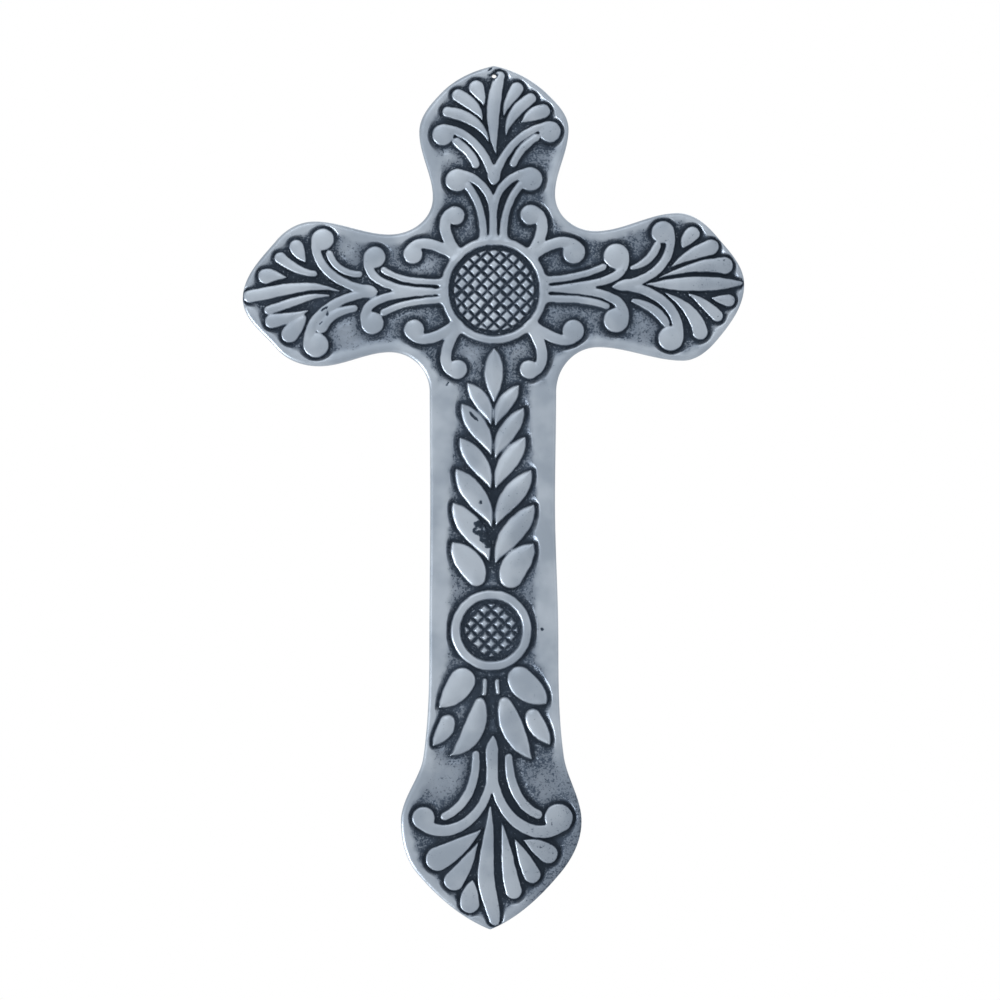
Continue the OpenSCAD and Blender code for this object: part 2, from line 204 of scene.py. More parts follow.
# Strokes: (start, angle there, end, angle there, (half width at the start, middle and end))
TOP_STROKES = (
    ((-0.3, 18), 90, (-0.3, 31), 90, (1.6, 1.4, 1.6)),
    ((3.4, 18), 94, (9.1, 37), 50, (1.4, 1.35, 1.4)),
    ((-3.8, 18), 88, (-9.4, 37), 130, (1.4, 1.35, 1.4)),
    ((0, 37.3), 90, (0, 43), 90, (0.1, 2.2, 1.5)),
    ((6.9, 45), 68, (15, 54), 28, (1.4, 1.45, 1.4)),
    ((-6.6, 44.6), 108, (-13.2, 52.6), 138, (1.5, 1.6, 1.5)),
    ((0.7, 48.2), 100, (2, 75.6), 72, (0.1, 2.3, 1.8)),
    ((3.6, 61.8), 88, (8, 71.2), 58, (0.1, 1.6, 2.4)),
    ((4.3, 55), 86, (12.9, 67.8), 34, (0.1, 1.9, 2)),
    ((9.8, 59.5), 40, (17.2, 63.3), 10, (0.1, 2.1, 2.6)),
    ((-3.8, 65.4), 92, (-6.2, 71.6), 118, (0.1, 1.6, 2.7)),
    ((-4.2, 60.2), 108, (-12.7, 69), 150, (0.1, 2, 2.2)),
    ((-1.9, 52.6), 108, (-16.4, 63.1), 172, (0.1, 1.8, 1.9)),
)

LEFT_STROKES = (
    ((-18, -0.5), 180, (-34, -0.4), 180, (1.2, 1.2, 1.9)),
    ((-18, 2.8), 178, (-39, 7.2), 145, (1.2, 1.15, 1.2)),
    ((-18, -3.3), 184, (-39, -7.9), 210, (1.3, 1.25, 1.3)),
    ((-41.4, -0.6), 180, (-47, -0.3), 180, (0.1, 2.3, 1.6)),
    ((-47.7, 5.7), 180, (-58.3, 12.8), 108, (1.2, 1.3, 1.3)),
    ((-49.5, -6.4), 190, (-61, -12.8), 240, (1.3, 1.7, 2.4)),
    ((-55, -0.3), 160, (-86.4, -2.2), 190, (0.2, 1.9, 2.2)),
    ((-73.5, 4.6), 178, (-80.8, 4.9), 200, (0.1, 1.7, 2.7)),
    ((-63.6, 5.8), 175, (-75.6, 11.4), 142, (1.1, 1.6, 2.1)),
    ((-66.8, 10), 130, (-69.9, 15.3), 115, (0.1, 1.8, 2.5)),
    ((-58.5, -2), 175, (-79.9, -7), 195, (0.3, 1.5, 1.5)),
    ((-66, -7.3), 203, (-78.6, -11), 190, (0.2, 1.7, 2.5)),
    ((-67.5, -9.8), 225, (-72.3, -15.6), 230, (1.2, 2.6, 3)),
)

RIGHT_STROKES = (
    ((18, 0.5), 0, (34, 0.9), 3, (1.2, 1.2, 2)),
    ((18, 3.6), 3, (38.5, 8.2), 25, (1.3, 1.25, 1.3)),
    ((18, -3), 0, (39.8, -5.6), -22, (1.3, 1.35, 1.2)),
    ((41.8, 1.4), 0, (48, 1.9), 0, (0.1, 1.8, 2.1)),
    ((49, 7.9), 15, (57.7, 15.8), 68, (0.8, 1.5, 1.4)),
    ((49.3, -3.7), -14, (60.8, -11.6), -60, (0.8, 1.6, 1.4)),
    ((54, 2.1), 0, (86.9, 2.4), 0, (0.1, 2.6, 0.9)),
    ((58.5, 4.4), 22, (81.6, 8.7), -5, (0.1, 1.6, 3)),
    ((62.7, 8.2), 42, (76.8, 15.3), 20, (0.1, 1.9, 2.7)),
    ((66.9, 15.3), 70, (70.2, 20), 40, (0.3, 2.1, 2.6)),
    ((60.5, -0.9), -28, (73, -14.8), -78, (0.1, 1.8, 2.7)),
    ((69, -1.4), -28, (79, -9), -45, (0.2, 1.6, 2.1)),
    ((77, -2.8), -12, (83, -3.6), -8, (0.1, 1.4, 2.2)),
)

FOOT_STROKES = (
    ((-0.4, -157.8), -90, (-0.7, -163), -90, (0.2, 1.6, 2.2)),
    ((-0.7, -163), -90, (-0.7, -176), -90, (2.2, 2.1, 2)),
    ((-6.5, -164.2), -86, (-17.4, -186.2), -155, (1.3, 1.65, 1.5)),
    ((5.2, -165.3), -90, (15.5, -185.6), -25, (1.4, 1.7, 1.6)),
    ((-1.4, -182.8), -90, (-2.9, -205), -94, (0.3, 1.9, 2.8)),
    ((-2.9, -205), -94, (0.2, -222.8), -82, (2.8, 2.9, 1.9)),
    ((-4.6, -190.9), -140, (-19.8, -201.2), -155, (0.1, 2.8, 4.3)),
    ((-5.8, -195.6), -118, (-14.2, -209), -130, (0.1, 2.2, 3.5)),
    ((-7.6, -208.8), -100, (-8.6, -217), -84, (0.1, 2.5, 3.4)),
    ((2.7, -188.8), -75, (7, -212.6), -72, (0.1, 2.1, 2.9)),
    ((7.4, -194.4), -62, (13.5, -206.8), -62, (0.1, 2.1, 3)),
    ((10.6, -194.6), -22, (19.2, -199.4), -36, (0.1, 2.4, 3.4)),
)

# More strokes: the stalks and leaves under the small ring, and the pair of broad leaves above it
BUD_STROKES = (
    ((-3.2, -138), -90, (-3.5, -142.8), -95, (0.9, 0.9, 0.9)),
    ((1.1, -138.2), -90, (1.4, -142.3), -80, (0.9, 0.9, 0.8)),
    ((-11.2, -138.2), -118, (-19.4, -147.6), -142, (4.6, 3.7, 0.1)),
    ((9, -137.4), -62, (18.4, -146.2), -50, (4.4, 4.4, 0.1)),
    ((-16.5, -152.8), -95, (-21.4, -161), -122, (2.7, 2.7, 0.2)),
    ((13.7, -150.8), -75, (19.5, -160.4), -58, (2.8, 3, 0.4)),
    ((-5.0, -146), -94, (-15.5, -164.6), -152, (1.9, 3.7, 0.1)),
    ((3.7, -146), -76, (13.4, -165.9), -46, (2.2, 3.9, 0.1)),
)

BASE_LEAVES = (
    ((-6.2, -101.6), 104, (-14.8, -89.2), 122, (3.3, 4.3, 0.1)),
    ((6, -101.4), 82, (13.9, -89.8), 55, (4.1, 4.4, 0.1)),
)

# The bud and leaves down the shaft: (start, angle there, end, angle there, greatest half width)
SPRAY_LEAVES = (
    ((-0.1, -39.8), 90, (0, -20.6), 90, 3.4),
    ((-1.1, -47.6), 98, (-9.4, -33), 132, 2.9),
    ((0.6, -47.9), 84, (8.8, -33.8), 50, 2.9),
    ((-1.0, -58.3), 102, (-11.4, -40.2), 122, 3.5),
    ((0.5, -59.6), 80, (10.4, -41.6), 60, 3.3),
    ((-1.1, -70.3), 102, (-12, -52.3), 122, 3.5),
    ((0.6, -70.2), 78, (10.9, -52), 60, 3.5),
    ((-0.9, -83.8), 102, (-13.4, -63.4), 122, 3.9),
    ((0.7, -83.2), 78, (13, -63.8), 60, 3.9),
    ((-1.7, -95.8), 104, (-14.4, -75.4), 120, 4.1),
    ((0.6, -96.6), 78, (14, -76), 60, 4.1),
)

# ---------------------------------------------------------------- curves


def heading(angle):
    """The step of length 1 in the direction of an angle in degrees."""
    return np.array((math.cos(math.radians(angle)), math.sin(math.radians(angle))))


def smooth(low, high, value):
    """An even change from 0 at low to 1 at high, which may be the smaller of the two."""
    t = np.clip((value - low) / (high - low), 0, 1)
    return t * t * (3 - 2 * t)


def curve(start, out_angle, end, in_angle, step=STROKE_STEP):
    """Points along a smooth curve that leaves start and reaches end at those angles."""
    start, end = np.array(start, float), np.array(end, float)
    chord = np.linalg.norm(end - start)
    turn = (in_angle - out_angle + 540) % 360 - 180
    # With handles as long as those of a circular arc with the same turn, the curve is close to that arc.
    bend = abs(math.radians(turn)) / 4
    handle = chord / 3 if bend < STRAIGHT else chord * 2 / 3 * math.tan(bend) / math.sin(2 * bend)
    near, beyond = start + handle * heading(out_angle), end - handle * heading(in_angle)
    t = np.linspace(0, 1, max(3, int(chord / step) + 1))[:, None]
    return start * (1 - t) ** 3 + near * 3 * t * (1 - t) ** 2 + beyond * 3 * t**2 * (1 - t) + end * t**3


def fit(points):
    """Places points of the drawing on the CAD node, in millimetres."""
    return np.asarray(points, float) * (SCALE_X, SCALE_Z) + HUB


def stroke(start, out_angle, end, in_angle, widths):
    """Circles along a stroke whose half width passes through three values."""
    line = curve(start, out_angle, end, in_angle)
    t = np.linspace(0, 1, len(line))
    first, middle, last = widths
    radius = first * (1 - t) * (1 - 2 * t) + middle * 4 * t * (1 - t) + last * t * (2 * t - 1)
    return line, np.maximum(radius, POINT)


def leaf(start, out_angle, end, in_angle, width):
    """Circles along a leaf, pointed at both ends and fullest a little beyond its middle."""
    line = curve(start, out_angle, end, in_angle)
    t = np.linspace(0, 1, len(line))
    return line, np.maximum(width * np.sin(math.pi * t**LEAF_LEAN) ** LEAF_FILL, POINT)


def scroll(start, out_angle, bulb_centre, bulb_r, meets_at, spin, root_w, tip_w):
    """Circles along a scroll's stroke, which starts slim and runs on round the edge of its bulb."""
    end = np.array(bulb_centre) + (bulb_r - tip_w) * heading(meets_at)
    line = curve(start, out_angle, end, meets_at - 90 * spin)
    t = np.linspace(0, 1, len(line))
    fullness = SLIM_START + (1 - SLIM_START) * smooth(0, SLIM_LENGTH, t)
    return line, (root_w + (tip_w - root_w) * t) * fullness


def bulb(scroll_row):
    """A scroll's bulb, as a row of one circle."""
    _, _, bulb_centre, bulb_r, *_ = scroll_row
    return np.array([bulb_centre], float), np.array([bulb_r], float)


# ---------------------------------------------------------------- the grid

# The grid reaches a few cells past the plate on every side.
MARGIN_CELLS = 2
low_x = cad_low.x / MM - MARGIN_CELLS * PITCH
low_z = cad_low.z / MM - MARGIN_CELLS * PITCH
count_x = int((cad_high.x - cad_low.x) / MM / PITCH) + 2 * MARGIN_CELLS + 1
count_z = int((cad_high.z - cad_low.z) / MM / PITCH) + 2 * MARGIN_CELLS + 1
X, Z = np.meshgrid(low_x + np.arange(count_x) * PITCH, low_z + np.arange(count_z) * PITCH)
draws = np.random.default_rng(SEED)


def between(lattice, v, u, eased=False):
    """A lattice's values at rows v and columns u, which may lie between its own points."""
    i, j = v.astype(int), u.astype(int)
    a, b = v - i, u - j
    if eased:
        a, b = smooth(0, 1, a), smooth(0, 1, b)
    top = lattice[i, j] * (1 - b) + lattice[i, j + 1] * b
    bottom = lattice[i + 1, j] * (1 - b) + lattice[i + 1, j + 1] * b
    return top * (1 - a) + bottom * a


def uneven(layers, base=0):
    """The base with layers of random waves over the grid added to it."""
    for strength, width in layers:
        u, v = (X - low_x) / width, (Z - low_z) / width
        lattice = draws.uniform(-1, 1, (int(v.max()) + 2, int(u.max()) + 2))
        base = base + strength * between(lattice, v, u, eased=True)
    return base


def window(points, margin):
    """The part of the grid within margin of the points."""
    (x0, z0), (x1, z1) = points.min(0) - margin, points.max(0) + margin
    columns = slice(max(0, int((x0 - low_x) / PITCH)), max(0, int((x1 - low_x) / PITCH) + 2))
    rows = slice(max(0, int((z0 - low_z) / PITCH)), max(0, int((z1 - low_z) / PITCH) + 2))
    return rows, columns


# The pattern is cut by hand, so it is read at places that waver a little.
WX = uneven(EDGE_WAVER, X)
WZ = uneven(EDGE_WAVER, Z)
hub_x, hub_z = (WX - HUB[0]) / SCALE_X, (WZ - HUB[1]) / SCALE_Z


def from_centre(place):
    """How far each grid point is from a place of the drawing."""
    cx, cz = fit(place)
    return np.hypot(WX - cx, WZ - cz)


# ---------------------------------------------------------------- the plate's edge


def outline():
    """Points along the plate's outline, clockwise."""
    points = []
    for i, (start, _, out_angle) in enumerate(OUTLINE_KNOTS):
        end, in_angle, _ = OUTLINE_KNOTS[(i + 1) % len(OUTLINE_KNOTS)]
        points.extend(curve(start, out_angle, end, in_angle, OUTLINE_STEP)[:-1])
    return fit(points)


def edge_distance(loop, reach):
    """How far each grid point lies inside the loop, up to reach, and the nearest point of the loop."""
    distance = np.full(X.shape, FAR)
    nearest = np.zeros(X.shape + (2,))
    crossings = np.zeros(X.shape, int)
    for a, b in zip(loop, np.roll(loop, -1, 0)):
        at = window(np.array((a, b)), reach)
        px, pz = X[at] - a[0], Z[at] - a[1]
        along = b - a
        t = np.clip((px * along[0] + pz * along[1]) / (along @ along), 0, 1)
        d = np.hypot(px - t * along[0], pz - t * along[1])
        closer = d < distance[at]
        distance[at] = np.where(closer, d, distance[at])
        nearest[at][closer] = np.stack((a[0] + t * along[0], a[1] + t * along[1]), -1)[closer]
        # Each row that this side crosses changes from outside to inside, or back, at the crossing.
        rows = np.nonzero((Z[:, 0] > min(a[1], b[1])) & (Z[:, 0] <= max(a[1], b[1])))[0]
        if len(rows):
            x = a[0] + (Z[rows, 0] - a[1]) * (b[0] - a[0]) / (b[1] - a[1])
            first = np.clip(np.ceil((x - low_x) / PITCH).astype(int), 0, count_x - 1)
            np.add.at(crossings, (rows, first), 1)
    inside = np.cumsum(crossings, 1) % 2 == 1
    return np.where(inside, distance, -distance), nearest


rim, rim_point = edge_distance(outline(), RIM_REACH)
# The nail hole is at the origin.
hole_gap = np.hypot(X, Z) - HOLE_R

# ---------------------------------------------------------------- the carving

# How far each grid point lies from the carving, less than 0 inside it
gap = np.full(X.shape, FAR)
# The same distance with the notches between neighbouring strokes filled in, for the ground and the stain
hollow = np.full(X.shape, FAR)
# Height of the carving's middle and radius of its shoulders, near each point
crest = np.full(X.shape, STROKE_TOP)
rounded = np.full(X.shape, SHOULDER)


def union(first, second, fillet):
    """The distance from two shapes joined, with a fillet where they meet."""
    share = np.clip(0.5 + 0.5 * (first - second) / fillet, 0, 1)
    return first * (1 - share) + second * share - fillet * share * (1 - share)


def join(at, nearby, own_crest, own_round, fillet):
    """Joins one more shape to the carving; nearby is the distance from it."""
    share = smooth(-CREST_BLEND, CREST_BLEND, gap[at] - nearby)
    gap[at] = union(gap[at], nearby, fillet)
    crest[at] = crest[at] * (1 - share) + own_crest * share
    rounded[at] = rounded[at] * (1 - share) + own_round * share


def stamp(circles, cut, fills=True):
    """Joins a row of circles to the carving, a little higher along their middle."""
    middle, drop, softness = cut
    line, radius = fit(circles[0]), circles[1] + SPREAD
    at = window(line, radius.max() + STROKE_REACH)
    x, z = WX[at], WZ[at]
    # Distance from the row, the share of the way out from its middle, and its half width there
    nearby = np.full(x.shape, FAR)
    outward = np.full(x.shape, FAR)
    width = np.ones(x.shape)
    for (cx, cz), r in zip(line, radius):
        d = np.hypot(x - cx, z - cz)
        closer = d < outward * r
        outward = np.where(closer, d / r, outward)
        width = np.where(closer, r, width)
        nearby = np.minimum(nearby, d - r)
    own_crest = middle - drop * np.clip(outward, 0, 1) ** 2
    own_round = np.minimum(softness, SHOULDER_SHARE * width)
    join(at, nearby, own_crest, own_round, FILLET)
    if fills:
        hollow[at] = union(hollow[at], nearby, NOTCH)


for row in HUB_SCROLLS + TOP_SCROLLS + LEFT_SCROLLS + RIGHT_SCROLLS + FOOT_SCROLLS:
    stamp(scroll(*row), SCROLL_CUT)
    stamp(bulb(row), BULB_CUT, fills=False)
for row in BUD_STROKES + BASE_LEAVES:
    stamp(stroke(*row), BUD_CUT)
for row in TOP_STROKES + LEFT_STROKES + RIGHT_STROKES + FOOT_STROKES:
    stamp(stroke(*row), STROKE_CUT)
for row in SPRAY_LEAVES:
    stamp(leaf(*row), LEAF_CUT)

# The rings: (centre, outer radius, inner radius)
HUB_RING = ((0, 0), 19.1, 16)
SMALL_RING = ((-1, -120.3), 14.4, 10.9)
RING_CREST = RING_TOP - 0.1
RING_SHOULDER = 1.2
RING_FILLET = 1.5

everywhere = (slice(None), slice(None))
for place, outer, inner in (HUB_RING, SMALL_RING):
    nearby = np.abs(from_centre(place) - (outer + inner) / 2) - (outer - inner) / 2
    join(everywhere, nearby, RING_CREST, RING_SHOULDER, RING_FILLET)
hollow = np.minimum(hollow, gap)


def shoulder(inside, radius):
    """How far a rounded edge lies below its crest, by distance in from the edge."""
    short = np.clip(1 - np.clip(inside, 0, None) / radius, 0, 1)
    return radius * (1 - np.sqrt(np.maximum(1 - short**2, 0)))


ridge = crest - shoulder(-gap, rounded)
carving = FIELD_FLOOR + (ridge - FIELD_FLOOR) * smooth(-WALL, WALL / 2, -gap)

# ---------------------------------------------------------------- the field between the strokes

# Half width of the shaft's carved strip, at heights up the shaft
SHAFT = (
    (-170, 24), (-150, 22.3), (-141, 20), (-131, 15.8), (-112, 15),
    (-92, 15.4), (-64, 14.4), (-45, 13), (-28, 12),
)
SHAFT_AXIS = -0.6
# Heights over which the strip begins, and over which it ends: (where there is none of it, where it is full)
SHAFT_START = (-26, -38)
SHAFT_END = (-172, -158)
# Distances in from the rim, and out from the strip, over which the field turns into the border
RIM_TO_FIELD = (6.5, 1.5)
STRIP_TO_BORDER = (-2.5, 2.5)
# How far out from the carving the ground levels off in the field, how much sooner it does in the border, and
# how high the field's ground is as a share of the border's
FIELD_CLIMB = 3.4
BORDER_SOONER = 1.8
FIELD_SHARE = 0.72

stations, halves = zip(*SHAFT)
beyond_strip = np.abs(hub_x - SHAFT_AXIS) - np.interp(hub_z, stations, halves)
on_shaft = smooth(*SHAFT_START, hub_z) * smooth(*SHAFT_END, hub_z)

border_share = np.maximum(smooth(*RIM_TO_FIELD, rim), smooth(*STRIP_TO_BORDER, beyond_strip) * on_shaft)
climb = FIELD_CLIMB - BORDER_SOONER * border_share
level = smooth(0, 1, hollow / climb) * (FIELD_SHARE + (1 - FIELD_SHARE) * border_share)
pits = uneven(GROUND_PITS) * (1 - border_share)
ground = FIELD_FLOOR + (BORDER_TOP - FIELD_FLOOR) * level + pits
surface = np.maximum(ground, carving)

# ---------------------------------------------------------------- patina and painted shade

# The same arrays also carry painted shade: darker to the right, in the foot's right corner and round the nail
# hole.
# Stain runs from 0, rubbed bright, to 1, full. It gathers beside the carving and thins over the border.
# Distances over which it changes: across the border's inner edge and out from the carving's own. The first of
# each pair is where the change begins, and the second where it is complete.
RUBBED_RIM = (5.4, 1.8)
RUBBED_STRIP = (-1.8, 2.2)
FIELD_GROOVE = (1.7, 0.3)
BORDER_GROOVE = (1.15, 0.3)
OPEN_FIELD = (2.0, 5.0)
CARVING_EDGE = (-0.3, 0.1)
# How much more stain there is in the field's grooves and the border's, and how much less in the open field
FIELD_GATHERED = 0.40
BORDER_GATHERED = 0.87
OPEN_RUBBED = 0.12
# The foot's right corner gets painted shade, as the light falls from the left: (from this far right, to this
# far) and the same for heights
CORNER_SHADE_X = (2, 20)
CORNER_SHADE_Z = (-150, -182)

# How far out to the sides the painted shade goes on changing, darker to the right and paler to the left
RIGHT_SHADE_REACH = 60
# A paler place fades out over these shares of its radius, and over these distances from the carving.
PALE_FADE = (1.3, 0.3)
PALE_CLEAR = (0.4, 2.0)
# Places where the field is rubbed paler: (place, radius, how much less stain)
THIN_STAIN = (
    ((-18, -171), 10, 0.12), ((20, -175), 8, 0.20), ((-17, 46), 6, 0.16), ((17, 44), 5, 0.10),
    ((-25, 7), 5, 0.18), ((-27, -8), 4, 0.12), ((-8, -23), 4, 0.14), ((9, -23), 4, 0.14),
    ((-54, -15), 7, 0.16), ((55, -12), 7, 0.10), ((-50, 14), 6, 0.10), ((16, -45), 5, 0.16),
    ((-11, 27), 5, 0.12), ((11, 27), 4, 0.08), ((-18, -136), 5, 0.12),
)

ragged = uneven(RAGGED_STAIN)
cloudy = uneven(STAIN_CLOUDS)
wavering = uneven(STAIN_WAVER, hollow)
# Painted shade: darker to the right, paler to the left, and darker still in the foot's right corner, as the
# light falls from the left.
side = np.clip(hub_x / RIGHT_SHADE_REACH, -1, 1)
corner_shade = smooth(*CORNER_SHADE_X, hub_x) * smooth(*CORNER_SHADE_Z, hub_z)


def stain_with_shade(amount, right, corner, cloud):
    """An amount of stain that changes from cloud to cloud, with painted shade added to the right and in the
    foot's right corner.
    """
    return amount + right * side + corner * corner_shade + cloud * cloudy


# The right and corner amounts are painted shade; the base amount and the clouds are stain.
field_stain_and_shade = stain_with_shade(0.55, right=0.06, corner=0.12, cloud=0.10)
field_stain_and_shade += FIELD_GATHERED * smooth(*FIELD_GROOVE, wavering) - OPEN_RUBBED * smooth(*OPEN_FIELD, gap)
for place, radius, thinner in THIN_STAIN:
    field_stain_and_shade -= thinner * smooth(*PALE_FADE, from_centre(place) / radius) * smooth(*PALE_CLEAR, gap)
border_stain_and_shade = stain_with_shade(0.03, right=0.06, corner=0.36, cloud=0)
border_stain_and_shade += BORDER_GATHERED * smooth(*BORDER_GROOVE, wavering)
top_stain_and_shade = stain_with_shade(0.11, right=0.07, corner=0.11, cloud=0.07)

rubbed = smooth(*RUBBED_STRIP, beyond_strip + ragged) * on_shaft
rubbed = np.maximum(smooth(*RUBBED_RIM, rim + ragged), rubbed)
patina_and_shade = field_stain_and_shade * (1 - rubbed) + border_stain_and_shade * rubbed
patina_and_shade = top_stain_and_shade + (patina_and_shade - top_stain_and_shade) * smooth(*CARVING_EDGE, gap)

# ---------------------------------------------------------------- the two bosses' studs

# More studs than either boss has from side to side
STUD_COUNT = 64
# Most that a stud strays, that its width changes as a share of it, and that its height changes
STUD_STRAY = 0.14
STUD_WIDENING = 0.12
STUD_LIFT = 0.15
# Distances in from the ring over which the studs reach their height
CLEAR_OF_RING = (0.9, 2.2)
# Stain on the studs, how much more there is in the cuts, and the depths over which it begins
STUD_STAIN = 0.06
CUT_STAIN = 0.89
CUT_DEPTHS = (0.7, 1.3)


def studs(surface, patina_and_shade, ring, pitch, cut, flat, seed):
    """The surface and patina, with its painted shade, with square studs set cornerwise inside a ring, each a
    little different.

    They are a pitch apart with a cut between them, and their tops are flat over a share of their width.
    """
    place, outer, inner = ring
    cx, cz = fit(place)
    x, z = WX - cx, WZ - cz
    r = np.hypot(x, z)
    u, v = (x + z) / math.sqrt(2), (x - z) / math.sqrt(2)
    iu, iv = np.floor(u / pitch + 0.5).astype(int), np.floor(v / pitch + 0.5).astype(int)
    own = np.random.default_rng(seed).uniform(-1, 1, (STUD_COUNT, STUD_COUNT, 4))
    own = own[iu % STUD_COUNT, iv % STUD_COUNT]
    du = np.abs(u - iu * pitch - STUD_STRAY * own[..., 0])
    dv = np.abs(v - iv * pitch - STUD_STRAY * own[..., 1])
    half_stud = (pitch - cut) / 2 * (1 + STUD_WIDENING * own[..., 2])
    slope_run = half_stud * (1 - flat) + cut / 2
    slope = (np.maximum(du, dv) - half_stud * flat) / slope_run
    top = STUD_TOP + STUD_LIFT * own[..., 3]
    clear_of_ring = smooth(*CLEAR_OF_RING, inner - r)
    height = STUD_FLOOR + (top - STUD_FLOOR) * smooth(1, 0, slope) * clear_of_ring
    inside = r < (outer + inner) / 2
    surface = np.where(inside, np.maximum(height, carving), surface)
    in_cut = STUD_STAIN + CUT_STAIN * smooth(*CUT_DEPTHS, STUD_TOP - height)
    patina_and_shade = np.where(r < inner, in_cut, np.where(inside & (gap < 0), 0, patina_and_shade))
    return surface, patina_and_shade


surface, patina_and_shade = studs(surface, patina_and_shade, HUB_RING, pitch=3.25, cut=0.55, flat=0.6, seed=3)
surface, patina_and_shade = studs(surface, patina_and_shade, SMALL_RING, pitch=3.4, cut=0.7, flat=0.32, seed=5)

# ---------------------------------------------------------------- wear, and painted shade round the nail hole

# Darkness of the flaws, also used for the painted shade round the nail hole
FLAW_STAIN_AND_HOLE_SHADE = 0.85
# Shares of a spot's size over which it fades out
SPOT_FADE = (1.3, 0.7)
# Old flaws in the casting, and last a spot of painted shade round the nail hole: (place, half width, half
# height, angle it is turned by, depth)
FLAWS_AND_HOLE_SHADE = (
    ((-5.6, -83), 1.3, 2.0, 30, 0.10), ((-3.6, -87), 1.7, 2.6, 40, 0.12), ((-6.8, -85.4), 0.8, 1.2, 0, 0.08),
    ((-2.6, -90.2), 0.8, 1.6, 20, 0.08), ((-7.6, -44.2), 0.35, 2.0, 40, 0.15),
    ((-4.8, -75.2), 0.6, 0.6, 0, 0.15), ((-16.5, -33.5), 0.8, 0.6, 20, 0.15),
    ((17, -120), 0.45, 0.45, 0, 0.12), ((-60, -6.6), 1.3, 0.3, 35, 0.08), ((-59, -8.4), 0.3, 0.7, 0, 0.06),
    # The last spot on the next line is not a flaw but painted shade round the nail hole.
    ((-61.2, -11.4), 0.9, 0.3, 50, 0.06), ((-1.4, 78), 0.9, 0.5, 30, 0.2), ((0, 75.9), 1.5, 1.5, 0, 0.1),
)

crumbled = uneven(CRUMBLING)
for place, half_w, half_h, turned, depth in FLAWS_AND_HOLE_SHADE:
    cx, cz = fit(place)
    cos, sin = heading(turned)
    u = ((WX - cx) * cos + (WZ - cz) * sin) / half_w
    v = ((WZ - cz) * cos - (WX - cx) * sin) / half_h
    spot = smooth(*SPOT_FADE, np.hypot(u, v) + crumbled)
    surface = surface - depth * spot
    patina_and_shade = np.maximum(patina_and_shade, FLAW_STAIN_AND_HOLE_SHADE * spot)

# The whole face is a little uneven, as cast.
surface = np.minimum(surface + uneven(CASTING_WAVES), HIGHEST)

# ---------------------------------------------------------------- the mesh


def rounding(radius, count):
    """Steps round a quarter circle from side to face: (distance in from the edge, depth below the face)."""
    angles = [math.pi / 2 * i / count for i in range(count + 1)]
    return [(radius * (1 - math.cos(a)), radius * (1 - math.sin(a))) for a in angles]


# The rim's rows of vertices run from partway round the front edge to the back, as (distance in, height).
FRONT_STEPS = rounding(FRONT_ROUND, 4)[:3]
RIM_ROWS = [(inset, BORDER_TOP - depth) for inset, depth in reversed(FRONT_STEPS)] + rounding(BACK_ROUND, 3)
# The nail hole has as many rows, down a straight wall with an edge barely rounded at each end.
BORE_ROWS = [(0.1, BORDER_TOP - 0.05), (0.02, BORDER_TOP - 0.15), (0, BORDER_TOP - 0.4)]
BORE_ROWS += [(0, 0.6), (0, 0.3), (0.02, 0.1), (0.1, 0)]

# Distance from the nearest edge, whether that is the nail hole's, and the nearest place on it
edge = np.minimum(rim, hole_gap)
by_hole = hole_gap < rim
away = np.stack((X, Z), -1) / np.maximum(np.hypot(X, Z), TINY)[..., None]
edge_point = np.where(by_hole[..., None], away * HOLE_R, rim_point)
front = surface - shoulder(edge, np.where(by_hole, HOLE_EDGE, FRONT_ROUND))

# The grid's cells that lie wholly on the front become its faces.
kept = edge > np.where(by_hole, BORE_ROWS[0][0], RIM_ROWS[0][0])
cells = kept[:-1, :-1] & kept[1:, :-1] & kept[:-1, 1:] & kept[1:, 1:]
used = np.zeros(X.shape, bool)
for di in (0, 1):
    for dj in (0, 1):
        used[di : di + cells.shape[0], dj : dj + cells.shape[1]] |= cells
index = np.full(X.shape, -1)
index[used] = np.arange(used.sum())
rows, columns = np.nonzero(cells)
quads = np.stack([index[rows + i, columns + j] for i, j in ((0, 0), (0, 1), (1, 1), (1, 0))], 1)
places = np.stack((X[used], Z[used]), 1)
vertices = np.column_stack((places[:, 0], -front[used], places[:, 1]))

# The outermost vertices move onto the rounded edge, and rows below them carry it round to the back.
sides = dict.fromkeys(map(tuple, np.concatenate([quads[:, [i, (i + 1) % 4]] for i in range(4)]).tolist()))
open_sides = [(a, b) for a, b in sides if (b, a) not in sides]
ring = sorted({v for side in open_sides for v in side})
ring_by_hole = by_hole[used][ring][:, None]
nearest = edge_point[used][ring]
inward = places[ring] - nearest
inward /= np.maximum(np.linalg.norm(inward, axis=1), TINY)[:, None]

faces = quads.tolist()
upper = None
for rim_row, bore_row in zip(RIM_ROWS, BORE_ROWS):
    inset, height = np.where(ring_by_hole, bore_row, rim_row).T
    place = nearest + inward * inset[:, None]
    made = np.column_stack((place[:, 0], -height, place[:, 1]))
    if upper is None:
        vertices[ring] = made
        upper = {v: v for v in ring}
        continue
    lower = {v: len(vertices) + i for i, v in enumerate(ring)}
    vertices = np.vstack((vertices, made))
    faces += [[upper[b], upper[a], lower[a], lower[b]] for a, b in open_sides]
    upper = lower


def closed_mesh():
    """The front and the rows below it as one mesh, with the back filled in."""
    mesh = bpy.data.meshes.new("cross_relief")
    mesh.from_pydata((vertices * MM).tolist(), [], faces)
    body = bmesh.new()
    body.from_mesh(mesh)
    back_edges = [e for e in body.edges if e.is_boundary]
    bmesh.ops.triangle_fill(body, use_beauty=True, edges=back_edges)
    bmesh.ops.recalc_face_normals(body, faces=body.faces)
    body.to_mesh(mesh)
    body.free()
    return mesh


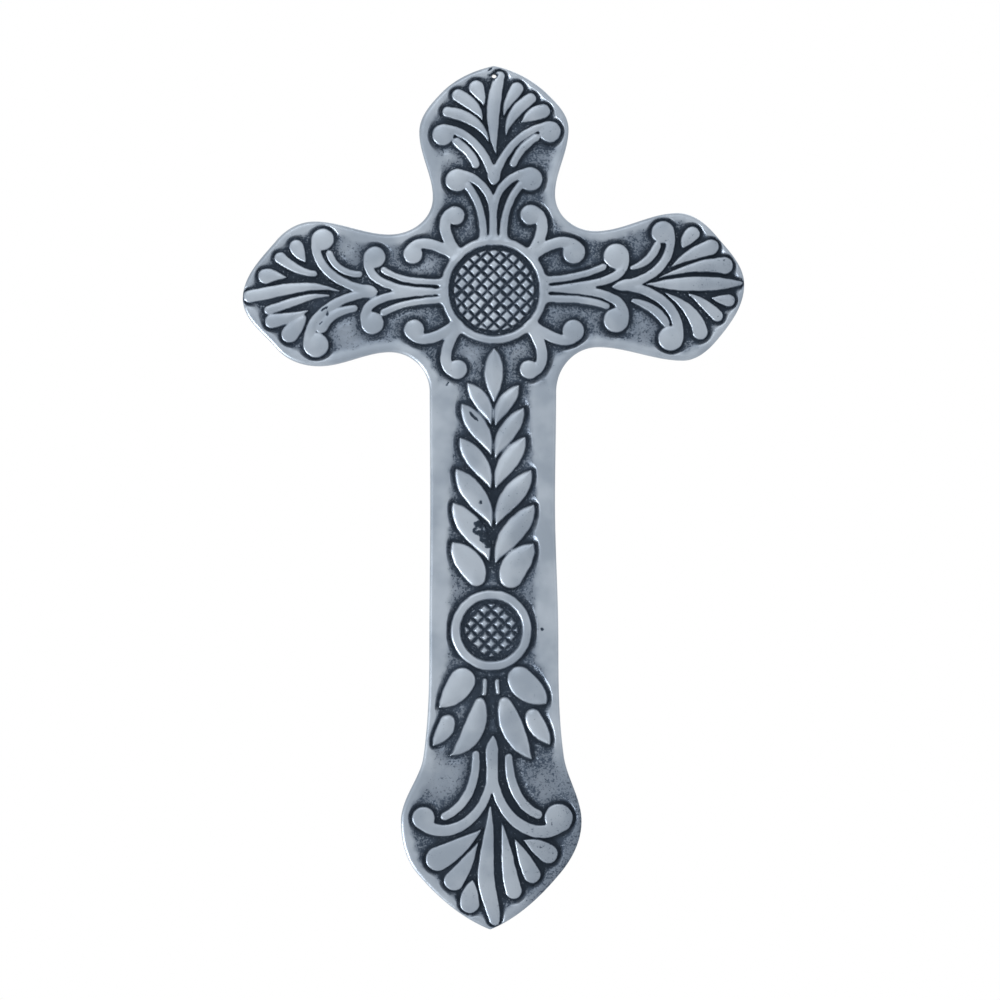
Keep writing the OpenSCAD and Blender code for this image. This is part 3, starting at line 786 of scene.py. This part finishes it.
cross = bpy.data.objects.new("cross_relief", closed_mesh())
bpy.context.scene.collection.objects.link(cross)
triangles = sum(len(face.vertices) - 2 for face in cross.data.polygons)
reduce = cross.modifiers.new("reduce", "DECIMATE")
reduce.ratio = min(1.0, MOST_TRIANGLES / triangles)
graph = bpy.context.evaluated_depsgraph_get()
reduced = bpy.data.meshes.new_from_object(cross.evaluated_get(graph))
cross.modifiers.clear()
cross.data = reduced
reduced.name = "cross_relief"
reduced.shade_smooth()
# The flat back keeps its own normal, or shading from its edges would spread over its long triangles.
for face in reduced.polygons:
    if face.normal.y > FACES_BACK:
        face.use_smooth = False

# The stain goes onto the mesh as an attribute, with the painted shade in it; the back has a little stain, all
# over.
BACK_STAIN = 0.25
# Heights, as a share of the border's, between which the back's stain gives way to the front's
BACK_TO_FRONT = (0.4, 0.8)

corners = np.zeros(len(reduced.vertices) * 3, np.float32)
reduced.vertices.foreach_get("co", corners)
corners = corners.reshape(-1, 3)
column = np.clip((corners[:, 0] / MM - low_x) / PITCH, 0, count_x - 1 - TINY)
row = np.clip((corners[:, 2] / MM - low_z) / PITCH, 0, count_z - 1 - TINY)
on_front = smooth(*BACK_TO_FRONT, -corners[:, 1] / MM / BORDER_TOP)
stain_and_shade = between(patina_and_shade, row, column) * on_front + BACK_STAIN * (1 - on_front)
attribute = reduced.attributes.new("patina_and_shade", "FLOAT", "POINT")
attribute.data.foreach_set("value", stain_and_shade.astype(np.float32))

# ---------------------------------------------------------------- materials


class Nodes:
    """A short way to write a material's nodes: a call adds what it names and gives its output."""

    def __init__(self, name):
        self.material = bpy.data.materials.new(name)
        self.material.use_nodes = True
        self.tree = self.material.node_tree
        self.shader = self.tree.nodes["Principled BSDF"]

    def add(self, kind, inputs=(), output=0, **settings):
        node = self.tree.nodes.new(kind)
        for key, value in settings.items():
            setattr(node, key, value)
        for key, value in dict(inputs).items():
            self.put(node.inputs[key], value)
        return node.outputs[output]

    def put(self, socket, value):
        """Links the socket where the value is another node's output, and sets it where it is plain."""
        if isinstance(value, bpy.types.NodeSocket):
            self.tree.links.new(value, socket)
        else:
            socket.default_value = value

    def noise(self, where, size_mm, detail=3.0, roughness=0.55):
        inputs = {"Vector": where, "Scale": 1 / (size_mm * MM), "Detail": detail, "Roughness": roughness}
        return self.add("ShaderNodeTexNoise", inputs)

    def math(self, operation, a, b):
        return self.add("ShaderNodeMath", {0: a, 1: b}, operation=operation)

    def ramp(self, value, low, high, out_low=0.0, out_high=1.0):
        inputs = {"Value": value, "From Min": low, "From Max": high, "To Min": out_low, "To Max": out_high}
        return self.add("ShaderNodeMapRange", inputs, interpolation_type="SMOOTHSTEP")

    def blend(self, factor, a, b):
        return self.add("ShaderNodeMix", {0: factor, 6: a, 7: b}, output=2, data_type="RGBA")

    def speckled(self, value, noise, strength):
        """The value made greater or less where the noise is above or below its middle."""
        return self.math("ADD", value, self.math("MULTIPLY", self.math("SUBTRACT", noise, 0.5), strength))


def cast_metal():
    """Bright metal with a blue-black stain over it, as thick as the stain attribute says, which also holds
    painted shade that darkens it.
    """
    # Rubbed metal, metal with a haze of stain that also carries painted shade, the stained field, and its
    # blacker grooves, with each pair blended from place to place
    dull_metal, bright_metal = (0.29, 0.338, 0.40, 1), (0.40, 0.452, 0.515, 1)
    hazed_and_shaded_metal = (0.11, 0.14, 0.185, 1)
    field_dark, field_pale = (0.028, 0.044, 0.068, 1), (0.07, 0.095, 0.135, 1)
    groove_dark, groove_pale = (0.011, 0.019, 0.031, 1), (0.032, 0.048, 0.071, 1)

    n = Nodes("cast_metal")
    where = n.add("ShaderNodeTexCoord", output="Object")
    stain_and_shade = n.add("ShaderNodeAttribute", output="Fac", attribute_name="patina_and_shade")
    speck = n.noise(where, size_mm=0.7, detail=4.0, roughness=0.75)
    patch = n.noise(where, size_mm=2.4, detail=4.0, roughness=0.65)
    cloud = n.ramp(n.noise(where, size_mm=20.0), 0.36, 0.64)
    grain = n.noise(where, size_mm=0.3, detail=2.0)

    # Where the stain is neither full nor gone it breaks up into specks.
    broken = n.speckled(n.speckled(stain_and_shade, speck, 2.1), patch, 0.7)
    cover = n.ramp(broken, 0.42, 0.64)
    haze_and_shade = n.ramp(stain_and_shade, 0.05, 0.5)

    bright = n.blend(cloud, dull_metal, bright_metal)
    bright = n.blend(n.math("MULTIPLY", haze_and_shade, 0.75), bright, hazed_and_shaded_metal)
    field = n.blend(patch, field_dark, field_pale)
    groove = n.blend(patch, groove_dark, groove_pale)
    dark = n.blend(n.ramp(stain_and_shade, 0.60, 0.92), field, groove)
    n.put(n.shader.inputs["Base Color"], n.blend(cover, bright, dark))
    n.put(n.shader.inputs["Metallic"], n.ramp(cover, 0.0, 1.0, out_low=0.92, out_high=0.15))
    rough = n.ramp(cover, 0.0, 1.0, out_low=0.38, out_high=0.74)
    n.put(n.shader.inputs["Roughness"], n.math("ADD", rough, n.math("MULTIPLY", grain, 0.10)))
    n.put(n.shader.inputs["Specular IOR Level"], 0.3)

    # Stained ground is rougher to the touch than rubbed metal.
    rough_field = n.math("MULTIPLY", speck, n.ramp(stain_and_shade, 0.1, 0.6, out_low=0.12, out_high=1.0))
    relief = n.math("ADD", rough_field, n.math("MULTIPLY", patch, 0.5))
    bump = n.add("ShaderNodeBump", {"Height": relief, "Strength": 0.5, "Distance": 0.15 * MM})
    n.put(n.shader.inputs["Normal"], bump)
    return n.material


def seen_directly(tree):
    """1 for rays from the camera, by reflection too, and 0 for those that light the object."""
    path = tree.nodes.new("ShaderNodeLightPath")
    seen = path.outputs["Is Camera Ray"]
    for name in ("Is Glossy Ray", "Is Transmission Ray"):
        either = tree.nodes.new("ShaderNodeMath")
        either.operation = "MAXIMUM"
        tree.links.new(seen, either.inputs[0])
        tree.links.new(path.outputs[name], either.inputs[1])
        seen = either.outputs[0]
    return seen


def floor_paint():
    """Pale paint that the camera and reflections see as plain white."""
    n = Nodes("floor_paint")
    where = n.add("ShaderNodeTexCoord", output="Object")
    tone = n.noise(where, size_mm=300.0, detail=2.0)
    n.put(n.shader.inputs["Base Color"], n.blend(tone, (0.95, 0.95, 0.95, 1), (0.93, 0.93, 0.93, 1)))
    n.put(n.shader.inputs["Roughness"], 0.9)
    white = n.add("ShaderNodeEmission", {"Color": (1, 1, 1, 1), "Strength": 1.0})
    mixed = n.add("ShaderNodeMixShader", {0: seen_directly(n.tree), 1: n.shader.outputs[0], 2: white})
    n.put(n.tree.nodes["Material Output"].inputs["Surface"], mixed)
    return n.material


reduced.materials.clear()
reduced.materials.append(cast_metal())
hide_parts("cross")
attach(cross, "root")

# ---------------------------------------------------------------- the studio

# Lengths here are in metres.
FLOOR_RADIUS = 2.5
# The floor lies well below the foot, as under a thing that hangs on a wall.
FLOOR_DROP = 0.6
# Height of the camera's view at the cross, which then fills 86% of it, and how far the view is off its middle
VIEW_HEIGHT = 0.3555
VIEW_RIGHT = 0.0023
VIEW_DOWN = 0.0008
LENS = 100
WORLD_COLOUR = (0.88, 0.94, 1.0, 1)
WORLD_STRENGTH = 0.5

# Soft lamps: (name, place with its height measured from the middle of the cross, diameter, power in watts)
LAMPS = (
    ("key", (-0.95, -0.32, -0.58), 0.5, 9.5),
    ("fill", (-0.4, -1.4, 1.0), 1.0, 4),
    ("right", (1.3, -0.9, 0.3), 0.8, 1.0),
    ("rear", (0.4, 1.2, 1.3), 1.0, 4),
)

centre = (cad_low + cad_high) / 2


def pale_floor():
    """A pale round floor below the cross."""
    disc = bmesh.new()
    bmesh.ops.create_circle(disc, cap_ends=True, segments=96, radius=FLOOR_RADIUS)
    bmesh.ops.translate(disc, verts=disc.verts, vec=(0, 0, cad_low.z - FLOOR_DROP))
    sheet = bpy.data.meshes.new("floor")
    disc.to_mesh(sheet)
    disc.free()
    sheet.materials.append(floor_paint())
    floor = bpy.data.objects.new("floor", sheet)
    bpy.context.scene.collection.objects.link(floor)


def studio_world():
    """White where the camera or a reflection looks, and dimmer as light on the object."""
    world = bpy.data.worlds.new("studio")
    bpy.context.scene.world = world
    world.use_nodes = True
    tree = world.node_tree
    shade = tree.nodes["Background"]
    shade.inputs["Color"].default_value = WORLD_COLOUR
    shade.inputs["Strength"].default_value = WORLD_STRENGTH
    white = tree.nodes.new("ShaderNodeBackground")
    white.inputs["Color"].default_value = (1, 1, 1, 1)
    mix = tree.nodes.new("ShaderNodeMixShader")
    tree.links.new(seen_directly(tree), mix.inputs[0])
    tree.links.new(shade.outputs[0], mix.inputs[1])
    tree.links.new(white.outputs[0], mix.inputs[2])
    tree.links.new(mix.outputs[0], tree.nodes["World Output"].inputs["Surface"])


def lamp(name, place, size, power):
    """A round soft lamp that faces the middle of the cross."""
    data = bpy.data.lights.new(name, "AREA")
    data.shape = "DISK"
    data.size = size
    data.energy = power
    light = bpy.data.objects.new(name, data)
    light.location = place
    light.rotation_euler = (centre - Vector(place)).to_track_quat("-Z", "Y").to_euler()
    bpy.context.scene.collection.objects.link(light)


def camera():
    """Straight in front, framed as the photo is."""
    data = bpy.data.cameras.new("camera")
    data.lens = LENS
    distance = VIEW_HEIGHT / 2 / math.tan(math.atan(data.sensor_width / 2 / data.lens))
    seat = bpy.data.objects.new("camera", data)
    seat.location = (centre.x + VIEW_RIGHT, -distance, centre.z - VIEW_DOWN)
    seat.rotation_euler = (math.pi / 2, 0, 0)
    bpy.context.scene.collection.objects.link(seat)
    bpy.context.scene.camera = seat


pale_floor()
camera()
for name, (x, y, up), size, power in LAMPS:
    lamp(name, (x, y, centre.z + up), size, power)
studio_world()
bpy.context.scene.view_settings.view_transform = "Standard"
